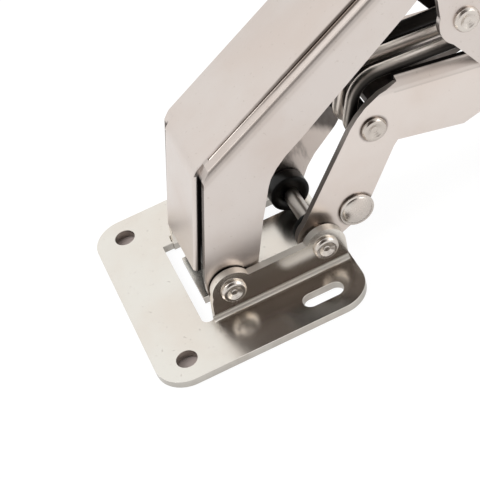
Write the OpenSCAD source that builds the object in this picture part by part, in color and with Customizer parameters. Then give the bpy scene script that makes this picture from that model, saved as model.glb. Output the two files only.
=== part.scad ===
/* [Base plate] */
// Length of each plate along the fold direction
plate_len = 41.3; // [38:0.1:46]
// Width of each plate across the hinge
plate_w = 46; // [44:0.5:52]
// Sheet thickness of the plates
plate_t = 1.6; // [1.4:0.1:2]
// Corner radius of the plates
plate_corner_r = 6; // [3:0.5:8]
// Distance from the outer plate edge to the round holes
hole_inset = 6; // [5:0.25:7]
// Spacing of the screw holes across the hinge
hole_span = 36; // [34:0.5:38]
// Diameter of the round screw holes
hole_d = 4; // [3.5:0.1:4.5]
// Distance from the round holes to the middle of the slots
slot_gap = 27; // [26:0.25:28]
// Width of the screw slots
slot_w = 3.4; // [3:0.1:4]
// Overall length of the screw slots
slot_len = 8; // [7:0.25:9]
// Outside distance over the ears
ear_span = 24.4; // [24:0.1:26]
// Radius of the ear lobes
lobe_r = 4; // [3.6:0.1:4.2]
// Height of the straight ear edge above the underside
ear_edge_h = 8.4; // [7.5:0.1:9]
// Fillet where an ear leaves the plate
bend_r = 0.9; // [0.5:0.1:1.2]
// Width of the central tongue
tongue_w = 12; // [10:0.5:13]
// Width of the bridge that joins tongue and ears at the inner edge
bridge_w = 3; // [2:0.25:4]

/* [Pivots] */
// Pivot of the outer arm on the base plate, from the round holes
a1_x = 12.8; // [12:0.1:14]
// Distance between the two base pivots
a_pitch = 18.4; // [17:0.1:19]
// Height of the base pivots above the underside
pivot_h = 6.4; // [6.2:0.1:7]
// Far pivot of the outer arm, along
b1_x = 80.7; // [79:0.1:82]
// Far pivot of the outer arm, height
b1_z = 14.7; // [14:0.1:15.5]
// Far pivot of the inner arm, along
b2_x = 73; // [72:0.1:74]
// Far pivot of the inner arm, height
b2_z = 24.3; // [23.6:0.1:25]
// Diameter of the rivet pins
pin_d = 3; // [2.6:0.1:3.2]
// Diameter of the rivet heads
head_d = 4.8; // [4.4:0.1:5.4]
// Height of the rivet heads
head_h = 0.9; // [0.6:0.1:1.2]
// Outside diameter of the spacer sleeves
sleeve_d = 5.2; // [4.8:0.1:5.6]
// Outside diameter of the black bushes on the second base pivot
bush_d = 7.8; // [7:0.1:7.8]
// Length of the far black bush
bush_len = 3; // [2.5:0.1:4]
// Length of the near black bush
bush_near_len = 1.2; // [1:0.1:2]
// Outside diameter of the spring core
core_d = 5.8; // [5.4:0.1:6]
// Running clearance round a pin
run_gap = 0.06; // [0.03:0.01:0.1]
// Extra radius of the open pivot hole
open_gap = 0.95; // [0.85:0.05:1.1]
// Side gap between neighbouring stampings
side_gap = 0.3; // [0.2:0.05:0.4]
// End gap of sleeves and bushes
end_gap = 0.2; // [0.1:0.05:0.3]

/* [Arms] */
// Sheet thickness of the arms
arm_t = 1.3; // [1.1:0.1:1.4]
// Outside fold radius of the outer arm
fold_r = 0.6; // [0.4:0.1:1.2]
// Width of the flange between the fold and its crease line
crease_in = 2.5; // [2:0.1:3]
// Depth of the crease line
crease_r = 0.3; // [0.2:0.05:0.4]
// Outside radius of the bend from the arm to its lower tab
tab_bend_r = 4; // [3:0.25:4.5]
// Width of the slit beside the lower tab
slit_w = 1.5; // [1.2:0.1:2]
// How far the lower tab stands out from the walls' edges
tab_out = 1.08; // [0.8:0.02:1.4]
// Radius of the inner arm's end round the second base pivot
inner_lobe_r = 4; // [3.6:0.1:4.2]
// Radius of the inner arm's end round the far pivot
inner_head_r = 5.2; // [4.8:0.1:5.4]
// Width of the folded lip of the inner arm
lip_w = 2.7; // [2:0.1:2.8]

/* [Springs] */
// Wire diameter
wire_d = 2.4; // [2:0.1:2.4]
// Distance between neighbouring wires
wire_pitch = 4.5; // [3.8:0.1:4.5]
// Mean coil radius round the far pivot
coil_r = 6.35; // [6:0.05:6.5]
// Length of the straight foot after the coil
foot_len = 3; // [2:0.25:4]

/* [Door plate] */
// Slope of the door plate in the modelled pose
door_tilt = 25; // [20:1:30]
// Distance from the inner plate edge to the far pivot
door_edge = 5; // [4.6:0.1:6]

/* [Output] */
// Facets of round parts
facets = 64; // [32:8:96]

/* [Hidden] */
$fn = facets;
eps = 0.01;
joint_gap = 0.05;
a1 = [a1_x, pivot_h];
a2 = [a1_x + a_pitch, pivot_h];
b1 = [b1_x, b1_z];
b2 = [b2_x, b2_z];
plate_x0 = -hole_inset;
plate_x1 = plate_len - hole_inset;
ear_out = ear_span / 2;
window_x0 = a1_x - 5.1;
ear_in = ear_out - plate_t;
outer_out = ear_in - side_gap;
outer_in = outer_out - arm_t;
inner_out = outer_in - side_gap;
inner_in = inner_out - arm_t;
lug_out = inner_in - 0.25;
lug_in = lug_out - 1.2;
pin_r = pin_d / 2;
bore_r = pin_r + run_gap;
dish_h = head_h * 0.45;
dish_r = (pow(head_d * 0.33, 2) + dish_h * dish_h) / (2 * dish_h);
tab_half = outer_in - slit_w;
anchor = [46.1, 24.4];
cross = [65.8, 39.6];
stud = [39.4, 8.4];
bend1 = [15, 31.9];
bend2 = [60.7, 57.7];
edge_low = [8.9, 9.9];
lip_a = [52.3, 32.1];
lip_b = [66.6, 29.58];
heel = [51.2, 19.3];
web_a = [49.4, 19.75];
web_b = [62.7, 16.4];
leg_a = 74.5;
mid_a = along(bend1, bend2);
tab_low = step(edge_low, leg_a + 90, tab_out);
tab_bend = meet(tab_low, leg_a, bend1, mid_a);
tab_cut = tab_bend_r * tan((leg_a - mid_a) / 2);

steel = [0.80, 0.77, 0.73];
dark = [0.10, 0.10, 0.11];
wire_c = [0.70, 0.68, 0.66];

function along(p, q) = atan2(q[1] - p[1], q[0] - p[0]);
function step(p, deg, d) = [p[0] + d * cos(deg), p[1] + d * sin(deg)];
function meet(p, pa, q, qa) =
    step(p, pa, ((q[0] - p[0]) * sin(qa) - (q[1] - p[1]) * cos(qa)) / sin(qa - pa));

module side(y0, t) {
    translate([0, y0 + t, 0]) rotate([90, 0, 0]) linear_extrude(t) children();
}

module both(y0, t) {
    side(y0, t) children();
    side(-y0 - t, t) children();
}

module dot(p, r) {
    translate(p) circle(r);
}

module bore(p, r) {
    translate([p[0], 0, p[1]]) rotate([90, 0, 0]) cylinder(r = r, h = 60, center = true);
}

module strip(p, q, t) {
    a = along(p, q) - 90;
    polygon([p, q, step(q, a, t), step(p, a, t)]);
}

module fold_cut(p, q, half, r, sides = [-1, 1]) {
    len = norm(q - p);
    for (s = sides)
        translate([p[0], 0, p[1]]) rotate([0, -along(p, q), 0]) scale([1, s, 1]) difference() {
            translate([-1, half - r, -r]) cube([len + 2, r + 1, r + 1]);
            translate([-2, half - r, -r]) rotate([0, 90, 0]) cylinder(r = r, h = len + 4);
        }
}

module rounded_plate(x0, x1, w, r) {
    linear_extrude(plate_t) {
        translate([x0 + r, -w / 2]) square([x1 - x0 - 2 * r, w]);
        translate([x0, -w / 2 + r]) square([x1 - x0, w - 2 * r]);
        for (x = [x0 + r, x1 - r])
            for (s = [-1, 1])
                translate([x, s * (w / 2 - r)]) circle(r);
    }
}

module screw_holes(x0, dir) {
    for (s = [-1, 1]) {
        translate([x0, s * hole_span / 2, -1]) cylinder(d = hole_d, h = plate_t + 2);
        for (e = [-1, 1])
            translate([x0 + dir * slot_gap + e * (slot_len - slot_w) / 2, s * hole_span / 2, -1])
                cylinder(d = slot_w, h = plate_t + 2);
        translate([x0 + dir * slot_gap, s * hole_span / 2, plate_t / 2])
            cube([slot_len - slot_w, slot_w, plate_t + 2], center = true);
    }
}

module ear_outline() {
    dot(a1, lobe_r);
    dot(a2, lobe_r);
    polygon([[7.6, eps], [8.4, pivot_h - 1], [a1[0] - lobe_r, pivot_h], [a1[0], ear_edge_h],
        [a2[0], ear_edge_h], [a2[0] + lobe_r, pivot_h], [plate_x1 - 0.4, plate_t],
        [plate_x1 - 0.4, eps]]);
}

module bend_fillet(x0, x1, y) {
    for (s = [-1, 1])
        scale([1, s, 1]) translate([x0, y, plate_t]) difference() {
            translate([0, -eps, -eps]) cube([x1 - x0, bend_r, bend_r]);
            translate([-1, bend_r, bend_r]) rotate([0, 90, 0]) cylinder(r = bend_r, h = x1 - x0 + 2);
        }
}

module base_plate() {
    color(steel) difference() {
        union() {
            difference() {
                rounded_plate(plate_x0, plate_x1, plate_w, plate_corner_r);
                translate([5.6, -ear_in - 0.4, -1]) cube([2.2, 2 * ear_in + 0.8, plate_t + 2]);
                translate([6.9, -ear_in - 0.2, -1]) cylinder(r = 1.3, h = plate_t + 2);
                for (s = [-1, 1])
                    translate([window_x0, min(s * tongue_w / 2, s * ear_in), -1])
                        cube([plate_x1 - bridge_w - window_x0, ear_in - tongue_w / 2, plate_t + 2]);
            }
            both(ear_in, plate_t) ear_outline();
            bend_fillet(7.6, plate_x1 - 0.4, ear_out);
        }
        screw_holes(0, 1);
        bore(a1, pin_r);
        bore(a2, pin_r);
    }
}

module outer_outline() {
    dot(a1, 4.3);
    dot(cross, 5);
    dot(b1, 4.2);
    polygon([edge_low, bend1 - [0.5, 1.4], bend1 + [1.2, 0.68], bend2 - [1.7, 0.96],
        bend2 + [0.5, -0.86], step(cross, 31, 5), step(b1, 31, 4.2), step(b1, 211, 4.2),
        [64.5, 33], [61.5, 37.5], [61.3, 42.3], [61.4, 45.6], [60.4, 48],
        [58.2, 47.7], [55.4, 45.7], [43.7, 38], [32.6, 30.6], [29.4, 28.7], [27.2, 26.9],
        [25.7, 25.2], [25, 23.9], [22.25, 17.25], [18.8, 7.7], [17.1, 6.4], [8.5, 6.4]]);
}

module crease_cut() {
    translate([bend1[0], crease_in - outer_out, bend1[1]]) rotate([0, -mid_a, 0])
        translate([2.2, 0, 0]) rotate([0, 90, 0]) cylinder(r = crease_r, h = norm(bend2 - bend1) - 5);
}

module tab_turn() {
    hub = step(step(tab_bend, leg_a, -tab_cut), leg_a - 90, tab_bend_r);
    intersection() {
        difference() {
            dot(hub, tab_bend_r);
            dot(hub, tab_bend_r - arm_t);
        }
        polygon([hub, step(hub, leg_a + 90, 2 * tab_bend_r), step(hub, mid_a + 90, 2 * tab_bend_r)]);
    }
}

module outer_arm() {
    color(steel) difference() {
        union() {
            both(outer_in, arm_t) outer_outline();
            side(-outer_out + eps, 2 * outer_out - 2 * eps)
                strip(bend1 + [0.9, 0.51], bend2 - [1.7, 0.96], arm_t);
            side(-tab_half, 2 * tab_half) {
                strip(tab_low, step(tab_bend, leg_a, -tab_cut), arm_t);
                strip(step(tab_bend, mid_a, tab_cut), bend1 + [1.2, 0.68], arm_t);
                tab_turn();
            }
            side(-outer_in - eps, 2 * outer_in + 2 * eps)
                polygon([bend1 - [0.62, 1.85], bend1 - [0.5, 1.4], bend1 + [1.2, 0.68],
                    bend1 + [1.9, -0.5], bend1 + [0.7, -2]]);
        }
        fold_cut(bend1 + [0.5, 0.28], bend2, outer_out, fold_r);
        fold_cut(tab_low, step(tab_bend, leg_a, -tab_cut), tab_half, 0.7);
        crease_cut();
        bore(a1, bore_r);
        bore(b1, bore_r);
        bore(cross, pin_r);
    }
}

module inner_outline(back) {
    dot(a2, inner_lobe_r);
    dot(b2, inner_head_r);
    polygon(concat([[29, 9.7], [42, 26.4], [43.6, 28], [45.5, 29.5], [48.6, 31], [52.25, 31.6], lip_a,
        lip_b, step(b2, 90, inner_head_r), step(b2, -90, inner_head_r), web_b, heel, [50, 19.6]], back));
}

module inner_arm() {
    color(steel) difference() {
        union() {
            side(-inner_out, arm_t) inner_outline([[49, 18.6], [43, 10], [40, 6.2], [34, 3.6]]);
            side(inner_in, arm_t)
                inner_outline([[48, 19.6], [43.8, 14.6], [38.6, 10.4], [36.6, 8.2], [34, 4]]);
            side(-inner_out + eps, lip_w - eps) strip(lip_a, lip_b, arm_t);
            side(-inner_out + eps, 2 * inner_out - 2 * eps) strip(web_b, web_a, arm_t);
        }
        fold_cut(lip_a - [1, -0.18], lip_b, inner_out, 1.9, [-1]);
        bore(a2, bore_r);
        bore(b2, pin_r + open_gap);
        bore(anchor, pin_r);
        translate([stud[0], -inner_in + 1, stud[1]]) rotate([90, 0, 0]) cylinder(r = 1.2, h = arm_t + 2);
    }
}

module door_frame() {
    translate([b1[0], 0, b1[1]]) rotate([0, -door_tilt, 0]) children();
}

function door_uv(p) = [
    (p[0] - b1[0]) * cos(door_tilt) + (p[1] - b1[1]) * sin(door_tilt),
    (p[1] - b1[1]) * cos(door_tilt) - (p[0] - b1[0]) * sin(door_tilt)];

module door_plate() {
    drop = plate_t + 4.8;
    top = plate_t - drop;
    q = door_uv(b2);
    color(steel) difference() {
        union() {
            door_frame() difference() {
                translate([0, 0, -drop])
                    rounded_plate(-door_edge, plate_len - door_edge, plate_w, plate_corner_r);
                for (s = [-1, 1])
                    translate([-2.4, min(s * ear_in, s * lug_out), -drop - 1])
                        cube([24, ear_in - lug_out, plate_t + 2]);
                translate([6.5, -lug_in, -drop - 1]) cube([13, 2 * lug_in, plate_t + 2]);
            }
            door_frame() both(ear_in, plate_t) {
                dot([0, 0], lobe_r);
                polygon([[-lobe_r, 0], [0, lobe_r * 0.9], [20, 0], [22, top],
                    [22, eps - drop], [-lobe_r, eps - drop]]);
            }
            door_frame() both(lug_in, lug_out - lug_in) {
                dot(q, 3.4);
                polygon([[q[0] - 3.4, q[1]], [q[0] + 3.4, q[1]], [4.6, 0], [5.6, top],
                    [5.6, eps - drop], [-4.4, eps - drop], [-4.4, top]]);
            }
        }
        door_frame() translate([0, 0, -drop]) screw_holes(plate_len - door_edge - hole_inset, -1);
        bore(b1, pin_r);
        bore(b2, pin_r);
    }
}

module rivet_head() {
    difference() {
        union() {
            cylinder(d = head_d, h = head_h * 0.5);
            cylinder(d1 = head_d, d2 = head_d * 0.86, h = head_h);
        }
        translate([0, 0, head_h + dish_r - dish_h]) sphere(r = dish_r);
    }
}

module rivet(p, half) {
    color(steel) translate([p[0], 0, p[1]]) rotate([90, 0, 0]) {
        cylinder(r = pin_r, h = 2 * half + 2 * eps, center = true);
        translate([0, 0, half]) rivet_head();
        mirror([0, 0, 1]) translate([0, 0, half]) rivet_head();
    }
}

module sleeve(p, r, y0, y1) {
    translate([p[0], y1, p[1]]) rotate([90, 0, 0]) difference() {
        cylinder(r = r, h = y1 - y0);
        translate([0, 0, -1]) cylinder(r = bore_r, h = y1 - y0 + 2);
    }
}

module pin_a1() {
    rivet(a1, ear_out);
}

module pin_a2() {
    rivet(a2, ear_out);
}

module pin_b1() {
    rivet(b1, ear_out);
}

module pin_b2() {
    color(steel) translate([b2[0], 0, b2[1]]) rotate([90, 0, 0])
        cylinder(r = pin_r, h = 2 * inner_out, center = true);
}

module anchor_pin() {
    color(steel) translate([anchor[0], inner_in, anchor[1]]) rotate([90, 0, 0]) {
        translate([0, 0, -arm_t]) cylinder(r = pin_r, h = 2 * inner_out + eps);
        translate([0, 0, inner_in + inner_out]) rivet_head();
    }
}

module cross_pin() {
    rivet(cross, outer_out);
}

module stop_stud() {
    color(steel) translate([stud[0], -inner_out, stud[1]]) rotate([90, 0, 0]) {
        translate([0, 0, -arm_t]) cylinder(r = 1.2, h = arm_t + 0.2);
        cylinder(r = 3.35, h = 0.5);
        intersection() {
            cylinder(r = 2.9, h = 2);
            translate([0, 0, 1.25 - 6]) sphere(r = 6);
        }
    }
}

module sleeve_a1() {
    color(dark) sleeve(a1, sleeve_d / 2, side_gap - outer_in, outer_in - side_gap);
}

module bush_a2_near() {
    color(dark) sleeve(a2, bush_d / 2, end_gap - inner_in, end_gap - inner_in + bush_near_len);
}

module bush_a2_far() {
    color(dark) sleeve(a2, bush_d / 2, inner_in - end_gap - bush_len, inner_in - end_gap);
}

module sleeve_b1() {
    color(dark) sleeve(b1, sleeve_d / 2, end_gap - lug_in, lug_in - end_gap);
}

module core_b2() {
    color(dark) sleeve(b2, core_d / 2, end_gap - lug_in, lug_in - end_gap);
}

module wire_run(p, q) {
    a = along(p, q);
    from = step(p, a, joint_gap);
    translate([from[0], 0, from[1]]) rotate([0, 90 - a, 0])
        cylinder(d = wire_d, h = norm(q - p) - 2 * joint_gap);
}

module wire_arc(c, r, start, sweep) {
    trim = joint_gap / r * 180 / PI;
    translate([c[0], 0, c[1]]) rotate([90, 0, 0]) rotate([0, 0, start + trim])
        rotate_extrude(angle = sweep - 2 * trim) translate([r, 0]) circle(d = wire_d);
}

module wire_joint(p, deg) {
    translate([p[0], 0, p[1]]) rotate([0, 90 - deg, 0])
        cylinder(d = wire_d + joint_gap, h = 6 * joint_gap, center = true);
}

module spring(k) {
    hook_r = pin_r + wire_d / 2 + 0.05;
    turn_r = 5.5;
    rise = 70;
    lead = -4.4;
    p0 = step(anchor, rise + 90, hook_r);
    p3 = step(b2, lead + 90, coil_r);
    d = p3 - p0;
    det = cos(rise) * sin(lead) - sin(rise) * cos(lead);
    t = (d[0] * sin(lead) - d[1] * cos(lead)) / det;
    corner = step(p0, rise, t);
    cut = turn_r * tan((rise - lead) / 2);
    p1 = step(corner, rise, -cut);
    p2 = step(corner, lead, cut);
    centre = step(p1, rise - 90, turn_r);
    foot = step(b2, 0, coil_r);
    color(wire_c) translate([0, (k - 1) * wire_pitch, 0]) {
        wire_arc(anchor, hook_r, rise + 90, 140);
        wire_joint(p0, rise);
        wire_run(p0, p1);
        wire_joint(p1, rise);
        wire_arc(centre, turn_r, lead + 90, rise - lead);
        wire_joint(p2, lead);
        wire_run(p2, p3);
        wire_joint(p3, lead);
        wire_arc(b2, coil_r, 0, lead + 90);
        wire_joint(foot, -90);
        wire_run(foot, foot - [0, foot_len]);
    }
}

module spring_1() {
    spring(0);
}

module spring_2() {
    spring(1);
}

module spring_3() {
    spring(2);
}

base_plate();
outer_arm();
inner_arm();
door_plate();
pin_a1();
pin_a2();
pin_b1();
pin_b2();
anchor_pin();
cross_pin();
stop_stud();
sleeve_a1();
bush_a2_near();
bush_a2_far();
sleeve_b1();
core_b2();
spring_1();
spring_2();
spring_3();
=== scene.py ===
from math import cos, radians, sin, tan

import bmesh
import bpy
from mathutils import Matrix, Vector


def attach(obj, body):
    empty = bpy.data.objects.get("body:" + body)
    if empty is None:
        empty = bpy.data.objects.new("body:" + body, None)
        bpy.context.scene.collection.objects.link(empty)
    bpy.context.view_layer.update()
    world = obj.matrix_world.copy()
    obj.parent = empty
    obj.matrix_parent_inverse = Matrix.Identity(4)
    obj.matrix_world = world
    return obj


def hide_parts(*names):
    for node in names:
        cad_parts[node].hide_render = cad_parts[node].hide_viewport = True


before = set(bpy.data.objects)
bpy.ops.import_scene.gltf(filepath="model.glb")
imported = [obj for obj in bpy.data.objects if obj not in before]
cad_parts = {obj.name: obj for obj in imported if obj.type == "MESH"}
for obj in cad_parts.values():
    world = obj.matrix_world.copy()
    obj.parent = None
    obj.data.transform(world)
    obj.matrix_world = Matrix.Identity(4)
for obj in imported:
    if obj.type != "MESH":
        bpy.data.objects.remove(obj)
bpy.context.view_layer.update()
MM = 0.001

# The camera stands where the photograph's holes, rivets and folds put it.
CAM_AZ, CAM_EL, CAM_ROLL = -8.13, 43.74, -19.42
CAM_DIST, CAM_RIGHT, CAM_UP = 272.949, 24.391, 5.034
CAM_LENS, CAM_SENSOR = 110.24, 36
CAM_FROM = (-6, 0, 1.6)
# The room is dim towards DIM_WAY, so what faces that side reflects brown.
DIM_WAY, DIM_EDGE = (-0.10, -0.74, 0.66), (0.72, 0.92)
ROOM, ROOM_DIM = (1.0, 0.995, 0.985, 1), (0.04, 0.022, 0.014, 1)
# The floor, in metres, with painted shade under each round hole.
FLOOR_X, FLOOR_Z, HOLE_Y = 0.03, -0.0003, 0.018
FLOOR_TONE, HOLE_TONE = (0.93, 0.93, 0.93, 1), (0.42, 0.36, 0.345, 1)
LAMP_TONE = (1.0, 0.99, 0.975)


class Value:
    """A shader socket that takes part in sums."""

    def __init__(self, finish, out):
        self.finish = finish
        self.out = out

    def _math(self, kind, a, b):
        return self.finish.node("ShaderNodeMath", {"operation": kind}, {0: a, 1: b})

    def __add__(self, other):
        return self._math("ADD", self, other)

    def __radd__(self, other):
        return self._math("ADD", other, self)

    def __sub__(self, other):
        return self._math("SUBTRACT", self, other)

    def __rsub__(self, other):
        return self._math("SUBTRACT", other, self)

    def __mul__(self, other):
        return self._math("MULTIPLY", self, other)

    def __rmul__(self, other):
        return self._math("MULTIPLY", other, self)

    def __abs__(self):
        return self._math("ABSOLUTE", self, 0.0)

    def at_least(self, other):
        return self._math("MAXIMUM", self, other)

    def step(self, low, high):
        """0 below low, 1 above high, smooth between; low may be the larger."""
        return self.finish.node("ShaderNodeMapRange", {"interpolation_type": "SMOOTHSTEP"},
                                {"Value": self, "From Min": low, "From Max": high})


class Finish:
    """One material, built up from nodes."""

    def __init__(self, name):
        self.mat = bpy.data.materials.new(name)
        self.mat.use_nodes = True
        self.tree = self.mat.node_tree
        self.tree.nodes.clear()
        self.place = self.node("ShaderNodeTexCoord", out="Object")

    def node(self, kind, settings=None, inputs=None, out=0):
        made = self.tree.nodes.new(kind)
        for key, value in (settings or {}).items():
            setattr(made, key, value)
        for key, value in (inputs or {}).items():
            if isinstance(value, Value):
                self.tree.links.new(value.out, made.inputs[key])
            else:
                made.inputs[key].default_value = value
        return Value(self, made.outputs[out])

    def axes(self):
        return [self.node("ShaderNodeSeparateXYZ", None, {0: self.place}, k) for k in range(3)]

    def noise(self, scale, stretch=(1, 1, 1), detail=3.0, rough=0.55, tilt=(0, 0, 0)):
        at = self.node("ShaderNodeMapping", None,
                       {"Vector": self.place, "Rotation": tilt, "Scale": stretch})
        return self.node("ShaderNodeTexNoise", None,
                         {"Vector": at, "Scale": scale, "Detail": detail, "Roughness": rough})

    def mix(self, mask, a, b):
        return self.node("ShaderNodeMix", {"data_type": "RGBA"},
                         {"Factor": mask, 6: a, 7: b}, 2)

    def surface(self, colour, rough, height=None, depth=0.00002, strength=0.4, metal=1.0, **fixed):
        inputs = {"Base Color": colour, "Roughness": rough, "Metallic": metal}
        if height is not None:
            bump = {"Height": height, "Distance": depth, "Strength": strength}
            inputs["Normal"] = self.node("ShaderNodeBump", None, bump)
        inputs.update({key.replace("_", " "): value for key, value in fixed.items()})
        shader = self.node("ShaderNodeBsdfPrincipled", None, inputs, "BSDF")
        self.node_out(shader)
        return self.mat

    def node_out(self, shader):
        end = self.tree.nodes.new("ShaderNodeOutputMaterial")
        self.tree.links.new(shader.out, end.inputs["Surface"])


def shade(r, g, b):
    """A colour as it is read on screen, 0 to 255, in linear light."""
    def lin(v):
        v /= 255
        return v / 12.92 if v <= 0.04045 else ((v + 0.055) / 1.055) ** 2.4
    return (lin(r), lin(g), lin(b), 1.0)


PLATE = (shade(232, 229, 222), shade(228, 221, 212))
ARM = (shade(213, 205, 200), shade(208, 197, 190))
INNER_ARM = (shade(223, 214, 208), shade(218, 206, 198))
NICKEL_WARM = shade(205, 195, 187)
NICKEL_DULL = shade(186, 175, 166)
PIN_STEEL = shade(210, 203, 196)
PIN_WORN = shade(198, 190, 182)
WIRE_STEEL = shade(232, 223, 214)
# Painted shade: a brown for creases, rims, edges and rings round heads, a near black for hollows.
SHADE_BROWN = shade(72, 60, 52)
SHADE_BLACK = shade(14, 11, 10)
PLATE_POLISH, ARM_POLISH, PIN_POLISH, HEAD_POLISH, WIRE_POLISH = 0.15, 0.24, 0.19, 0.14, 0.30


def plated_sheet(name, tones, tilt=0.0, polish=0.24, painted_shade=None, inside=None, dull=None):
    """Satin nickel over rolled sheet; tilt turns the rolling grain along the piece.
    painted_shade, inside and dull are functions of the axes that give a 0 to 1 mask;
    painted_shade paints shade in brown, inside paints shade in near black, dull adds roughness."""
    f = Finish(name)
    turn = (0, radians(tilt), 0)
    grain = f.noise(900.0, (0.05, 1.0, 1.0), 3.0, 0.6, turn)
    cloud = f.noise(60.0, (1, 1, 1), 4.0, 0.55)
    speck = f.noise(1500.0, (1, 1, 1), 1.0, 0.5).step(0.70, 0.76)
    peel = f.noise(420.0, (1, 1, 1), 2.0, 0.5)
    colour = f.mix(cloud.step(0.35, 0.7), *tones)
    colour = f.mix(speck * 0.35, colour, NICKEL_DULL)
    rough = polish + 0.08 * cloud + 0.05 * grain
    # Painted shade in brown where the mask is set.
    if painted_shade:
        mask = painted_shade(f)
        colour = f.mix(mask, colour, SHADE_BROWN)
        rough = rough - 0.06 * mask
    # Painted shade in near black in the hollows.
    if inside:
        mask = inside(f)
        colour = f.mix(mask * 0.985, colour, SHADE_BLACK)
        rough = rough + 0.2 * mask
    if dull:
        rough = rough + 0.3 * dull(f)
    return f.surface(colour, rough, 0.6 * grain + 0.4 * peel, 0.000012, 0.35)


def plain_metal(name, colour, rough, inside=None):
    """Drawn or turned steel; inside is a mask for painted shade between the plates."""
    f = Finish(name)
    cloud = f.noise(160.0, (1, 1, 1), 3.0)
    lines = f.noise(1600.0, (1, 0.04, 1), 2.0)
    tone = f.mix(cloud.step(0.4, 0.75), colour, NICKEL_WARM)
    rough = rough + 0.10 * cloud + 0.05 * lines
    # Painted shade in near black where the inside mask is set.
    if inside:
        mask = inside(f)
        tone = f.mix(mask * 0.985, tone, SHADE_BLACK)
        rough = rough + 0.2 * mask
    return f.surface(tone, rough, lines, 0.000008, 0.3)


def black_bush(name):
    f = Finish(name)
    grain = f.noise(700.0, (1, 1, 1), 3.0)
    wear = f.noise(140.0, (1, 1, 1), 3.0).step(0.62, 0.8)
    tone = f.mix(wear * 0.5, (0.004, 0.0035, 0.003, 1), (0.02, 0.018, 0.016, 1))
    return f.surface(tone, 0.30 + 0.15 * grain, grain, 0.00002, 0.3, metal=0.0,
                     Specular_IOR_Level=0.3)


def dress(node, material):
    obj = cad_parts[node]
    obj.data.materials.clear()
    obj.data.materials.append(material)


def softened(node, width, body, slot):
    """A copy of a stamping with its pressed edges rounded over, in the node's place."""
    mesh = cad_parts[node].data.copy()
    bm = bmesh.new()
    bm.from_mesh(mesh)
    bmesh.ops.remove_doubles(bm, verts=bm.verts, dist=2e-6)
    bmesh.ops.dissolve_limit(bm, angle_limit=radians(0.6), verts=bm.verts, edges=bm.edges,
                             delimit=set())
    bm.to_mesh(mesh)
    bm.free()
    obj = bpy.data.objects.new(node + "_pressed", mesh)
    bpy.context.scene.collection.objects.link(obj)
    bevel = obj.modifiers.new("edges", "BEVEL")
    bevel.width = width
    bevel.segments = 2
    bevel.limit_method = "ANGLE"
    bevel.angle_limit = radians(38)
    bevel.use_clamp_overlap = True
    level = obj.modifiers.new("flat", "WEIGHTED_NORMAL")
    level.keep_sharp = True
    for poly in mesh.polygons:
        poly.use_smooth = True
    return settle(obj, body, slot, node)


def settle(obj, body, slot, *nodes):
    """Turns the modifiers into a plain mesh and puts the piece on its body."""
    deps = bpy.context.evaluated_depsgraph_get()
    done = bpy.data.meshes.new_from_object(obj.evaluated_get(deps))
    obj.modifiers.clear()
    obj.data = done
    done.name = obj.name
    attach(obj, body)
    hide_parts(*nodes)
    return obj


class Tree:
    """A geometry tree with named inputs."""

    def __init__(self, name, inputs):
        self.tree = bpy.data.node_groups.new(name, "GeometryNodeTree")
        face = self.tree.interface
        face.new_socket("Geometry", in_out="INPUT", socket_type="NodeSocketGeometry")
        for label, kind in inputs:
            face.new_socket(label, in_out="INPUT", socket_type="NodeSocket" + kind)
        face.new_socket("Geometry", in_out="OUTPUT", socket_type="NodeSocketGeometry")
        self.given = self.tree.nodes.new("NodeGroupInput").outputs

    def node(self, kind, settings=None, inputs=None, out=0):
        made = self.tree.nodes.new(kind)
        for key, value in (settings or {}).items():
            setattr(made, key, value)
        for key, value in (inputs or {}).items():
            if isinstance(value, bpy.types.NodeSocket):
                self.tree.links.new(value, made.inputs[key])
            else:
                made.inputs[key].default_value = value
        return made.outputs[out]

    def math(self, kind, a, b):
        return self.node("ShaderNodeMath", {"operation": kind}, {0: a, 1: b})

    def close(self, geometry, material):
        whole = self.node("GeometryNodeRealizeInstances", None, {"Geometry": geometry})
        smooth = self.node("GeometryNodeSetShadeSmooth", None, {"Geometry": whole})
        painted = self.node("GeometryNodeSetMaterial", None,
                            {"Geometry": smooth, "Material": material})
        end = self.tree.nodes.new("NodeGroupOutput")
        self.tree.links.new(painted, end.inputs[0])
        return self.tree


def run_tree(name, mesh, tree, values):
    obj = bpy.data.objects.new(name, mesh)
    bpy.context.scene.collection.objects.link(obj)
    mod = obj.modifiers.new("shape", "NODES")
    mod.node_group = tree
    for item in tree.interface.items_tree:
        if item.item_type == "SOCKET" and item.in_out == "INPUT" and item.name in values:
            mod[item.identifier] = values[item.name]
    return obj


def points_mesh(name, points):
    mesh = bpy.data.meshes.new(name)
    mesh.from_pydata(points, [(k, k + 1) for k in range(len(points) - 1)], [])
    return mesh


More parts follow.
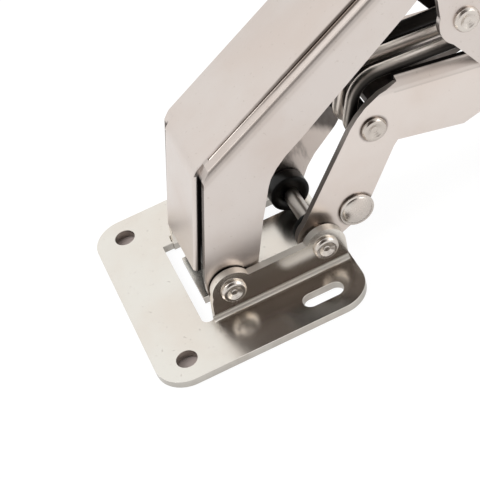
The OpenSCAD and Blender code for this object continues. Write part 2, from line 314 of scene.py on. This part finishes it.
def turned_tree():
    """Turns a profile of radius and run into a solid of revolution across the hinge."""
    t = Tree("turned_piece", [("Centre X", "Float"), ("Centre Z", "Float"),
                              ("Points", "Int"), ("Around", "Int"), ("Finish", "Material")])
    given = t.given
    grid = t.node("GeometryNodeMeshGrid", None,
                  {"Vertices X": given["Points"], "Vertices Y": given["Around"]})
    index = t.node("GeometryNodeInputIndex")
    row = t.math("FLOOR", t.math("DIVIDE", t.math("ADD", index, 0.5), given["Around"]), 0.0)
    turn = t.math("MODULO", index, given["Around"])
    angle = t.math("MULTIPLY", t.math("DIVIDE", turn, t.math("SUBTRACT", given["Around"], 1.0)),
                   6.283185307)
    at = t.node("GeometryNodeSampleIndex", {"data_type": "FLOAT_VECTOR", "domain": "POINT"},
                {"Geometry": given["Geometry"], "Value": t.node("GeometryNodeInputPosition"),
                 "Index": row})
    split = t.node("ShaderNodeSeparateXYZ", None, {0: at})
    radius, run = split, split.node.outputs[1]
    x = t.math("ADD", t.math("MULTIPLY", radius, t.math("COSINE", angle, 0.0)), given["Centre X"])
    z = t.math("ADD", t.math("MULTIPLY", radius, t.math("SINE", angle, 0.0)), given["Centre Z"])
    place = t.node("ShaderNodeCombineXYZ", None, {0: x, 1: run, 2: z})
    moved = t.node("GeometryNodeSetPosition", None, {"Geometry": grid, "Position": place})
    closed = t.node("GeometryNodeMergeByDistance", None, {"Geometry": moved, "Distance": 1e-6})
    return t.close(closed, given["Finish"])


def wire_tree():
    """Draws wire along a path and lays copies side by side."""
    t = Tree("wire_row", [("Wire radius", "Float"), ("Pitch", "Float"), ("Wires", "Int"),
                          ("Finish", "Material")])
    given = t.given
    path = t.node("GeometryNodeMeshToCurve", None, {"Mesh": given["Geometry"]})
    ring = t.node("GeometryNodeCurvePrimitiveCircle", None,
                  {"Resolution": 24, "Radius": given["Wire radius"]})
    tube = t.node("GeometryNodeCurveToMesh", None,
                  {"Curve": path, "Profile Curve": ring, "Fill Caps": True})
    first = t.math("MULTIPLY", t.math("SUBTRACT", given["Wires"], 1.0),
                   t.math("MULTIPLY", given["Pitch"], -0.5))
    row = t.node("GeometryNodeMeshLine", {"mode": "OFFSET"},
                 {"Count": given["Wires"],
                  "Start Location": t.node("ShaderNodeCombineXYZ", None, {1: first}),
                  "Offset": t.node("ShaderNodeCombineXYZ", None, {1: given["Pitch"]})})
    copies = t.node("GeometryNodeInstanceOnPoints", None, {"Points": row, "Instance": tube})
    return t.close(copies, given["Finish"])


def eased(points, r, steps=5):
    """A profile with its corners rounded over a length of r."""
    out = [points[0]]
    for before, corner, after in zip(points, points[1:], points[2:]):
        a, c, b = Vector(before), Vector(corner), Vector(after)
        reach = min(r, (a - c).length * 0.45, (b - c).length * 0.45)
        p, q = c + (a - c).normalized() * reach, c + (b - c).normalized() * reach
        for k in range(steps + 1):
            u = k / steps
            out.append(tuple((1 - u) ** 2 * p + 2 * u * (1 - u) * c + u * u * q))
    return out + [points[-1]]


TURNED = turned_tree()


def turned(node, centre, profile, body, finish, slot, ease=0.12):
    """profile runs from end to end as radius and place across the hinge, in mm."""
    pts = [(r * MM, y * MM, 0) for r, y in eased(profile, ease)]
    obj = run_tree(node + "_turned", points_mesh(node, pts), TURNED,
                   {"Centre X": centre[0] * MM, "Centre Z": centre[1] * MM,
                    "Points": len(pts), "Around": 73, "Finish": finish})
    settle(obj, body, slot, node)


PIN_R, HEAD_R, HEAD_H, EAR_R = 1.5, 2.4, 0.9, 4
A1, A2, B1, B2 = (12.8, 6.4), (31.2, 6.4), (80.7, 14.7), (73.0, 24.3)
ANCHOR, CROSS, STUD = (46.1, 24.4), (65.8, 39.6), (39.4, 8.4)
EAR, OUTER, INNER, INNER_IN, LUG_IN = 12.2, 10.3, 8.7, 7.4, 5.95
STUD_R, STUD_RIM, STUD_SHANK, STUD_H, RIM_H, DOME_R = 2.9, 3.35, 1.2, 1.25, 0.5, 6
SLEEVE_R, BUSH_R, CORE_R, END_GAP = 2.6, 3.9, 2.9, 0.2
WIRE_R, WIRE_PITCH, WIRES = 1.2, 4.5, 3
# Places of the masks, in metres: the crease and its fold, and sheets as middle and half depth.
CREASE_Y, FOLD_Y = 0.0078, 0.0101
INNER_SHEET, EAR_SHEET = (0.00805, 0.00065), (0.0114, 0.0008)
EAR_SHIFT = 1.6


def upset_head(face):
    """The set end of a rivet outwards from a face: dished middle, rolled rim."""
    rim = HEAD_R * 0.86
    dish = [(rim * 0.72 * k / 6, HEAD_H - 0.42 + 0.40 * (k / 6) ** 2) for k in range(7)]
    slug = [(0.0, HEAD_H - 0.30), (0.42, HEAD_H - 0.33), (0.62, HEAD_H - 0.41)]
    outline = slug + [p for p in dish if p[0] > 0.8] + [(rim * 0.80, HEAD_H), (rim, HEAD_H - 0.06),
                                                        (HEAD_R, HEAD_H * 0.45), (HEAD_R, 0.0)]
    return [(r, -(face + h)) for r, h in outline]


def riveted(half):
    near = upset_head(half) + [(PIN_R, -half)]
    return near + [(r, -y) for r, y in reversed(near)]


def bush(r, y0, y1):
    bore = PIN_R + 0.06
    return [(bore, y0), (r, y0), (r, y1), (bore, y1), (bore, y0)]


def spring_path():
    """The wire's run: hook round the anchor pin, bend, straight run, coil, foot."""
    hook_r, turn_r, coil_r, foot_len, rise, lead = 2.75, 5.5, 6.35, 3.0, 70.0, -4.4

    def step(p, deg, d):
        return Vector((p[0] + d * cos(radians(deg)), p[1] + d * sin(radians(deg))))

    p0, p3 = step(ANCHOR, rise + 90, hook_r), step(B2, lead + 90, coil_r)
    d = p3 - p0
    cr, sr, cl, sl = cos(radians(rise)), sin(radians(rise)), cos(radians(lead)), sin(radians(lead))
    corner = step(p0, rise, (d[0] * sl - d[1] * cl) / (cr * sl - sr * cl))
    cut = turn_r * tan(radians((rise - lead) / 2))
    centre = step(step(corner, rise, -cut), rise - 90, turn_r)
    path = [step(ANCHOR, rise + 90 + 140 - 140 * k / 24, hook_r) for k in range(25)]
    path += [step(centre, rise + 90 - (rise - lead) * k / 20, turn_r) for k in range(21)]
    path += [step(B2, (lead + 90) * (1 - k / 20), coil_r) for k in range(21)]
    path += [path[-1] - Vector((0, foot_len))]
    return [(p[0] * MM, 0.0, p[1] * MM) for p in path]


def web_rise(x, z):
    """How far a point lies along the normal of the outer arm's web."""
    return 0.871 * z - 0.491 * x


def leg_rise(x, z):
    """How far a point lies along the normal of the outer arm's lower leg."""
    return 0.2672 * z - 0.9636 * x


def lip_rise(x, z):
    """How far a point lies along the normal of the inner arm's lip."""
    return 0.1736 * x + 0.985 * z


def inside_outer(f):
    """Painted shade on the hollow side of the outer channel: between the walls, under the web,
    behind the tab.
    """
    x, y, z = f.axes()
    return (abs(y).step(0.00912, 0.00908) * web_rise(x, z).step(0.0197, 0.0193)
            * leg_rise(x, z).step(-0.0053, -0.0057))


def crease_line(f):
    """Painted shade in the crease of the web, along its strip and fold, on the slit's rim, and
    round the ear.
    """
    x, y, z = f.axes()
    top = web_rise(x, z)
    ragged = f.noise(300.0, (1, 1, 1), 3.0)
    along = (x + 0.012 * ragged).step(0.018, 0.046)
    groove = ((abs(y + CREASE_Y) - 0.0004 * along).step(0.0008, 0.0002) * top.step(0.0195, 0.0199)
              * (0.2 + 0.7 * along))
    turn = abs(y + FOLD_Y).step(0.0003, 0.0001) * top.step(0.0194, 0.0198)
    strip = top.step(0.0192, 0.0197) * y.step(-0.0079, -0.0083)
    rim = (leg_rise(x, z).step(-0.00625, -0.00605) * abs(y).step(0.00898, 0.00908)
           * abs(y).step(0.01028, 0.01015) * z.step(0.0306, 0.0300))
    ring_shade = halo(x, z, A1, EAR_R) * y.step(-0.01015, -0.01025) * (0.25 + 0.9 * ragged)
    return groove.at_least(0.5 * turn).at_least(0.23 * strip).at_least(rim).at_least(ring_shade)


def inside_inner(f):
    """Painted shade on the hollow side of the inner arm: between the plates, under and behind the
    lip.
    """
    x, y, z = f.axes()
    lip = lip_rise(x, z).step(0.0397, 0.0401) * abs(y).step(0.0068, 0.0071)
    shade_blotch = f.noise(260.0, (1.0, 0.2, 0.35), 4.0, 0.6, (0, radians(38), 0))
    high = (0.6 * x + 0.8 * z + 0.003 * shade_blotch).step(0.0372, 0.0396)
    shade_cover = (high * (0.55 + 0.5 * shade_blotch)).at_least(0.4 * shade_blotch.step(0.56, 0.72))
    return abs(y).step(0.00752, 0.00746) * (1.0 - lip) * shade_cover.at_least(z.step(0.019, 0.026))


def near_lip(x, y, z):
    """The lip folded over from the near plate of the inner arm."""
    return lip_rise(x, z).step(0.0382, 0.0388) * y.step(-0.0060, -0.0064)


def lip_dull(f):
    """The stretched skin of the lip's fold, and the sheared edges."""
    x, y, z = f.axes()
    return (0.3 * near_lip(x, y, z)).at_least(cut_edge(y, *INNER_SHEET))


def cut_edge(y, middle, half):
    """What lies strictly between the two faces of a plate: its sheared edges."""
    return abs(abs(y) - middle).step(half, half - 0.0001)


def strip_dull(f):
    """The flange strip beside the crease, pressed flat and left matt."""
    x, y, z = f.axes()
    return web_rise(x, z).step(0.0182, 0.0188) * y.step(-0.0079, -0.0083)


def edge_shade(f):
    """Painted shade: the sheared edges round a plate, below its top face, are painted a little
    darker than its faces.
    """
    _, _, z = f.axes()
    return (0.26 + 0.28 * f.noise(240.0, (1, 1, 1), 3.0)) * z.step(0.00152, 0.00140)


def bend_dull(f):
    """The inside of the bend where an ear leaves the plate, and the ears' sheared edges."""
    _, y, z = f.axes()
    bend = abs(y).step(0.01212, 0.01222) * z.step(0.00270, 0.00235) * z.step(0.00160, 0.00168)
    return (0.7 * bend).at_least(cut_edge(y, *EAR_SHEET) * z.step(0.0018, 0.0024))


def halo(x, z, centre, r):
    """A ring of painted shade round a rivet's head or an ear, fading outwards from radius r."""
    across, up = x - centre[0] * MM, z - centre[1] * MM
    return (across * across + up * up).step(((r + 0.6) * MM) ** 2, (r * MM) ** 2)


def rivet_shade(f):
    """Painted shade round the heads on the near plate, the ear's painted shadow behind it, and
    painted shade on the leg's edge and the lip.
    """
    x, y, z = f.axes()
    rough = 0.45 + 0.6 * f.noise(500.0, (1, 1, 1), 3.0)
    heads = halo(x, z, ANCHOR, HEAD_R).at_least(halo(x, z, STUD, STUD_RIM))
    behind_ear = halo(x, z, (A2[0], A2[1] - EAR_SHIFT), EAR_R)
    ring_shade = heads.at_least(behind_ear) * y.step(-0.0085, -0.0086) * rough
    edge = cut_edge(y, *INNER_SHEET) * z.step(0.026, 0.021)
    line = (abs(lip_rise(x, z) - 0.0385).step(0.0003, 0.0001) * x.step(0.0508, 0.0514)
            * y.step(-0.0080, -0.0084))
    return ring_shade.at_least(0.6 * edge).at_least(0.12 * near_lip(x, y, z)).at_least(0.2 * line)


def far_wire(f):
    """Painted shade on the far wire, and on the lower flank of the near one."""
    _, y, _ = f.axes()
    return y.step(0.0012, 0.0036).at_least(0.95 * y.step(-0.0051, -0.0056))


def between_plates(f):
    """What lies between the side plates of the inner arm, where pins are painted dark as shade."""
    _, y, _ = f.axes()
    return abs(y).step(0.00745, 0.0072)


finish_base = plated_sheet("nickel_base", PLATE, 0, PLATE_POLISH, edge_shade, dull=bend_dull)
finish_outer = plated_sheet("nickel_outer", ARM, -29, ARM_POLISH, crease_line, inside_outer,
                            strip_dull)
finish_inner = plated_sheet("nickel_inner", INNER_ARM, 10, ARM_POLISH, rivet_shade, inside_inner,
                            lip_dull)
finish_door = plated_sheet("nickel_door", PLATE, -25, PLATE_POLISH)
finish_pin = plain_metal("rivet_steel", PIN_STEEL, PIN_POLISH)
# The anchor pin and pin A2's shank are painted dark between the plates, as painted shade.
finish_anchor = plain_metal("rivet_shaded", PIN_WORN, HEAD_POLISH, between_plates)
finish_shank = plain_metal("rivet_shank_shaded", PIN_STEEL, PIN_POLISH,
                           lambda f: 0.3 * between_plates(f))
finish_wire = plain_metal("spring_wire", WIRE_STEEL, WIRE_POLISH, far_wire)
finish_bush = black_bush("bush_black")

for node, finish in [("base_plate", finish_base), ("outer_arm", finish_outer),
                     ("inner_arm", finish_inner), ("door_plate", finish_door)]:
    dress(node, finish)
for node in ["pin_a1", "pin_b1", "pin_b2", "cross_pin", "stop_stud"]:
    dress(node, finish_pin)
dress("pin_a2", finish_shank)
dress("anchor_pin", finish_anchor)
for node in ["sleeve_a1", "bush_a2_near", "bush_a2_far", "sleeve_b1", "core_b2"]:
    dress(node, finish_bush)
for node in ["spring_1", "spring_2", "spring_3"]:
    dress(node, finish_wire)

for node, width, body in [("base_plate", 0.22 * MM, "base"), ("outer_arm", 0.2 * MM, "outer"),
                          ("inner_arm", 0.2 * MM, "inner"), ("door_plate", 0.22 * MM, "door")]:
    softened(node, width, body, "nickel")

turned("pin_a1", A1, riveted(EAR), "base", finish_pin, "pin_steel")
turned("pin_a2", A2, riveted(EAR), "base", finish_shank, "pin_steel")
turned("pin_b1", B1, riveted(EAR), "door", finish_pin, "pin_steel")
turned("cross_pin", CROSS, riveted(OUTER), "outer", finish_pin, "pin_steel")
turned("pin_b2", B2, [(0, -INNER), (PIN_R, -INNER), (PIN_R, INNER), (0, INNER)], "door",
       finish_pin, "pin_steel")
turned("anchor_pin", ANCHOR, upset_head(INNER) + [(PIN_R, -INNER), (PIN_R, INNER), (0, INNER)],
       "inner", finish_anchor, "pin_steel")
dome = [(STUD_R * k / 8, -(INNER + STUD_H - DOME_R
                            + (DOME_R ** 2 - (STUD_R * k / 8) ** 2) ** 0.5)) for k in range(9)]
turned("stop_stud", STUD, dome + [(STUD_R, -INNER - RIM_H), (STUD_RIM, -INNER - RIM_H),
                                  (STUD_RIM, -INNER), (STUD_SHANK, -INNER),
                                  (STUD_SHANK, -INNER_IN), (0, -INNER_IN)],
       "inner", finish_pin, "pin_steel", 0.08)
turned("sleeve_a1", A1, bush(SLEEVE_R, -INNER, INNER), "base", finish_bush, "bush")
turned("bush_a2_near", A2, bush(BUSH_R, -7.2, -6.0), "base", finish_bush, "bush", 0.3)
turned("bush_a2_far", A2, bush(BUSH_R, 4.2, 7.2), "base", finish_bush, "bush", 0.4)
half_lug = LUG_IN - END_GAP
turned("sleeve_b1", B1, bush(SLEEVE_R, -half_lug, half_lug), "door", finish_bush, "bush")
turned("core_b2", B2, bush(CORE_R, -half_lug, half_lug), "door", finish_bush, "bush")

springs = run_tree("springs", points_mesh("spring_path", spring_path()), wire_tree(),
                   {"Wire radius": WIRE_R * MM, "Pitch": WIRE_PITCH * MM, "Wires": WIRES,
                    "Finish": finish_wire})
settle(springs, "inner", "wire", "spring_1", "spring_2", "spring_3")


def studio():
    scene = bpy.context.scene
    scene.view_settings.view_transform = "Standard"
    az, el, roll = radians(CAM_AZ), radians(CAM_EL), radians(CAM_ROLL)
    back = Vector((sin(az) * cos(el), -cos(az) * cos(el), sin(el)))
    right0 = Vector((cos(az), sin(az), 0))
    up0 = back.cross(right0)
    right = cos(roll) * right0 + sin(roll) * up0
    up = cos(roll) * up0 - sin(roll) * right0
    at = back * CAM_DIST + right0 * CAM_RIGHT + up0 * CAM_UP + Vector(CAM_FROM)
    turn = Matrix((right, up, back)).transposed().to_4x4()
    cam = bpy.data.cameras.new("camera")
    cam.lens = CAM_LENS
    cam.sensor_width = CAM_SENSOR
    cam.sensor_fit = "HORIZONTAL"
    cam.clip_start = 0.01
    cam.clip_end = 10
    eye = bpy.data.objects.new("camera", cam)
    eye.matrix_world = Matrix.Translation(at * MM) @ turn
    scene.collection.objects.link(eye)
    scene.camera = eye

    def lamp(name, size, power, place, aim):
        light = bpy.data.lights.new(name, "AREA")
        light.shape = "RECTANGLE"
        light.size, light.size_y = size
        light.energy = power
        light.color = LAMP_TONE
        obj = bpy.data.objects.new(name, light)
        obj.location = place
        obj.rotation_euler = (Vector(place) - Vector(aim)).to_track_quat("Z", "Y").to_euler()
        scene.collection.objects.link(obj)

    aim = (0.03, 0, 0.02)
    lamp("key", (0.5, 0.5), 3.0, (-0.5, 0.1, 0.7), aim)
    lamp("fill", (0.5, 0.4), 1.2, (0.6, -0.4, 0.3), aim)

    world = bpy.data.worlds.new("studio")
    scene.world = world
    world.use_nodes = True
    nodes, links = world.node_tree.nodes, world.node_tree.links
    way = nodes.new("ShaderNodeTexCoord")
    facing = nodes.new("ShaderNodeVectorMath")
    facing.operation = "DOT_PRODUCT"
    facing.inputs[1].default_value = DIM_WAY
    fade = nodes.new("ShaderNodeMapRange")
    fade.interpolation_type = "SMOOTHSTEP"
    fade.inputs["From Min"].default_value, fade.inputs["From Max"].default_value = DIM_EDGE
    links.new(way.outputs["Generated"], facing.inputs[0])
    links.new(facing.outputs["Value"], fade.inputs["Value"])
    tone = nodes.new("ShaderNodeMix")
    tone.data_type = "RGBA"
    tone.inputs[6].default_value = ROOM
    tone.inputs[7].default_value = ROOM_DIM
    links.new(fade.outputs["Result"], tone.inputs["Factor"])
    links.new(tone.outputs[2], nodes["Background"].inputs["Color"])

    mesh = bpy.data.meshes.new("floor")
    bm = bmesh.new()
    bmesh.ops.create_grid(bm, x_segments=1, y_segments=1, size=4.0)
    bm.to_mesh(mesh)
    bm.free()
    floor = bpy.data.objects.new("floor", mesh)
    floor.location = (FLOOR_X, 0, FLOOR_Z)
    scene.collection.objects.link(floor)
    f = Finish("floor_white")
    x, y, _ = f.axes()
    off = abs(y) - HOLE_Y
    # Painted shade on the floor under the two round holes, where the glow is also taken away.
    hole_shade = ((x + FLOOR_X) * (x + FLOOR_X) + off * off).step(0.0029 ** 2, 0.0024 ** 2)
    pale = f.mix(hole_shade, FLOOR_TONE, HOLE_TONE)
    ground = f.node("ShaderNodeBsdfDiffuse", None, {"Color": pale}, "BSDF")
    glow = f.node("ShaderNodeEmission", None, {"Color": (1, 1, 1, 1), "Strength": 1.08}, "Emission")
    ray = "ShaderNodeLightPath"
    lit = (0.86 * f.node(ray, out="Is Camera Ray")).at_least(
        0.45 * f.node(ray, out="Is Glossy Ray").at_least(f.node(ray, out="Is Transmission Ray")))
    f.node_out(f.node("ShaderNodeMixShader", None, {0: lit * (1.0 - hole_shade), 1: ground, 2: glow},
                      "Shader"))
    floor.data.materials.append(f.mat)


studio()
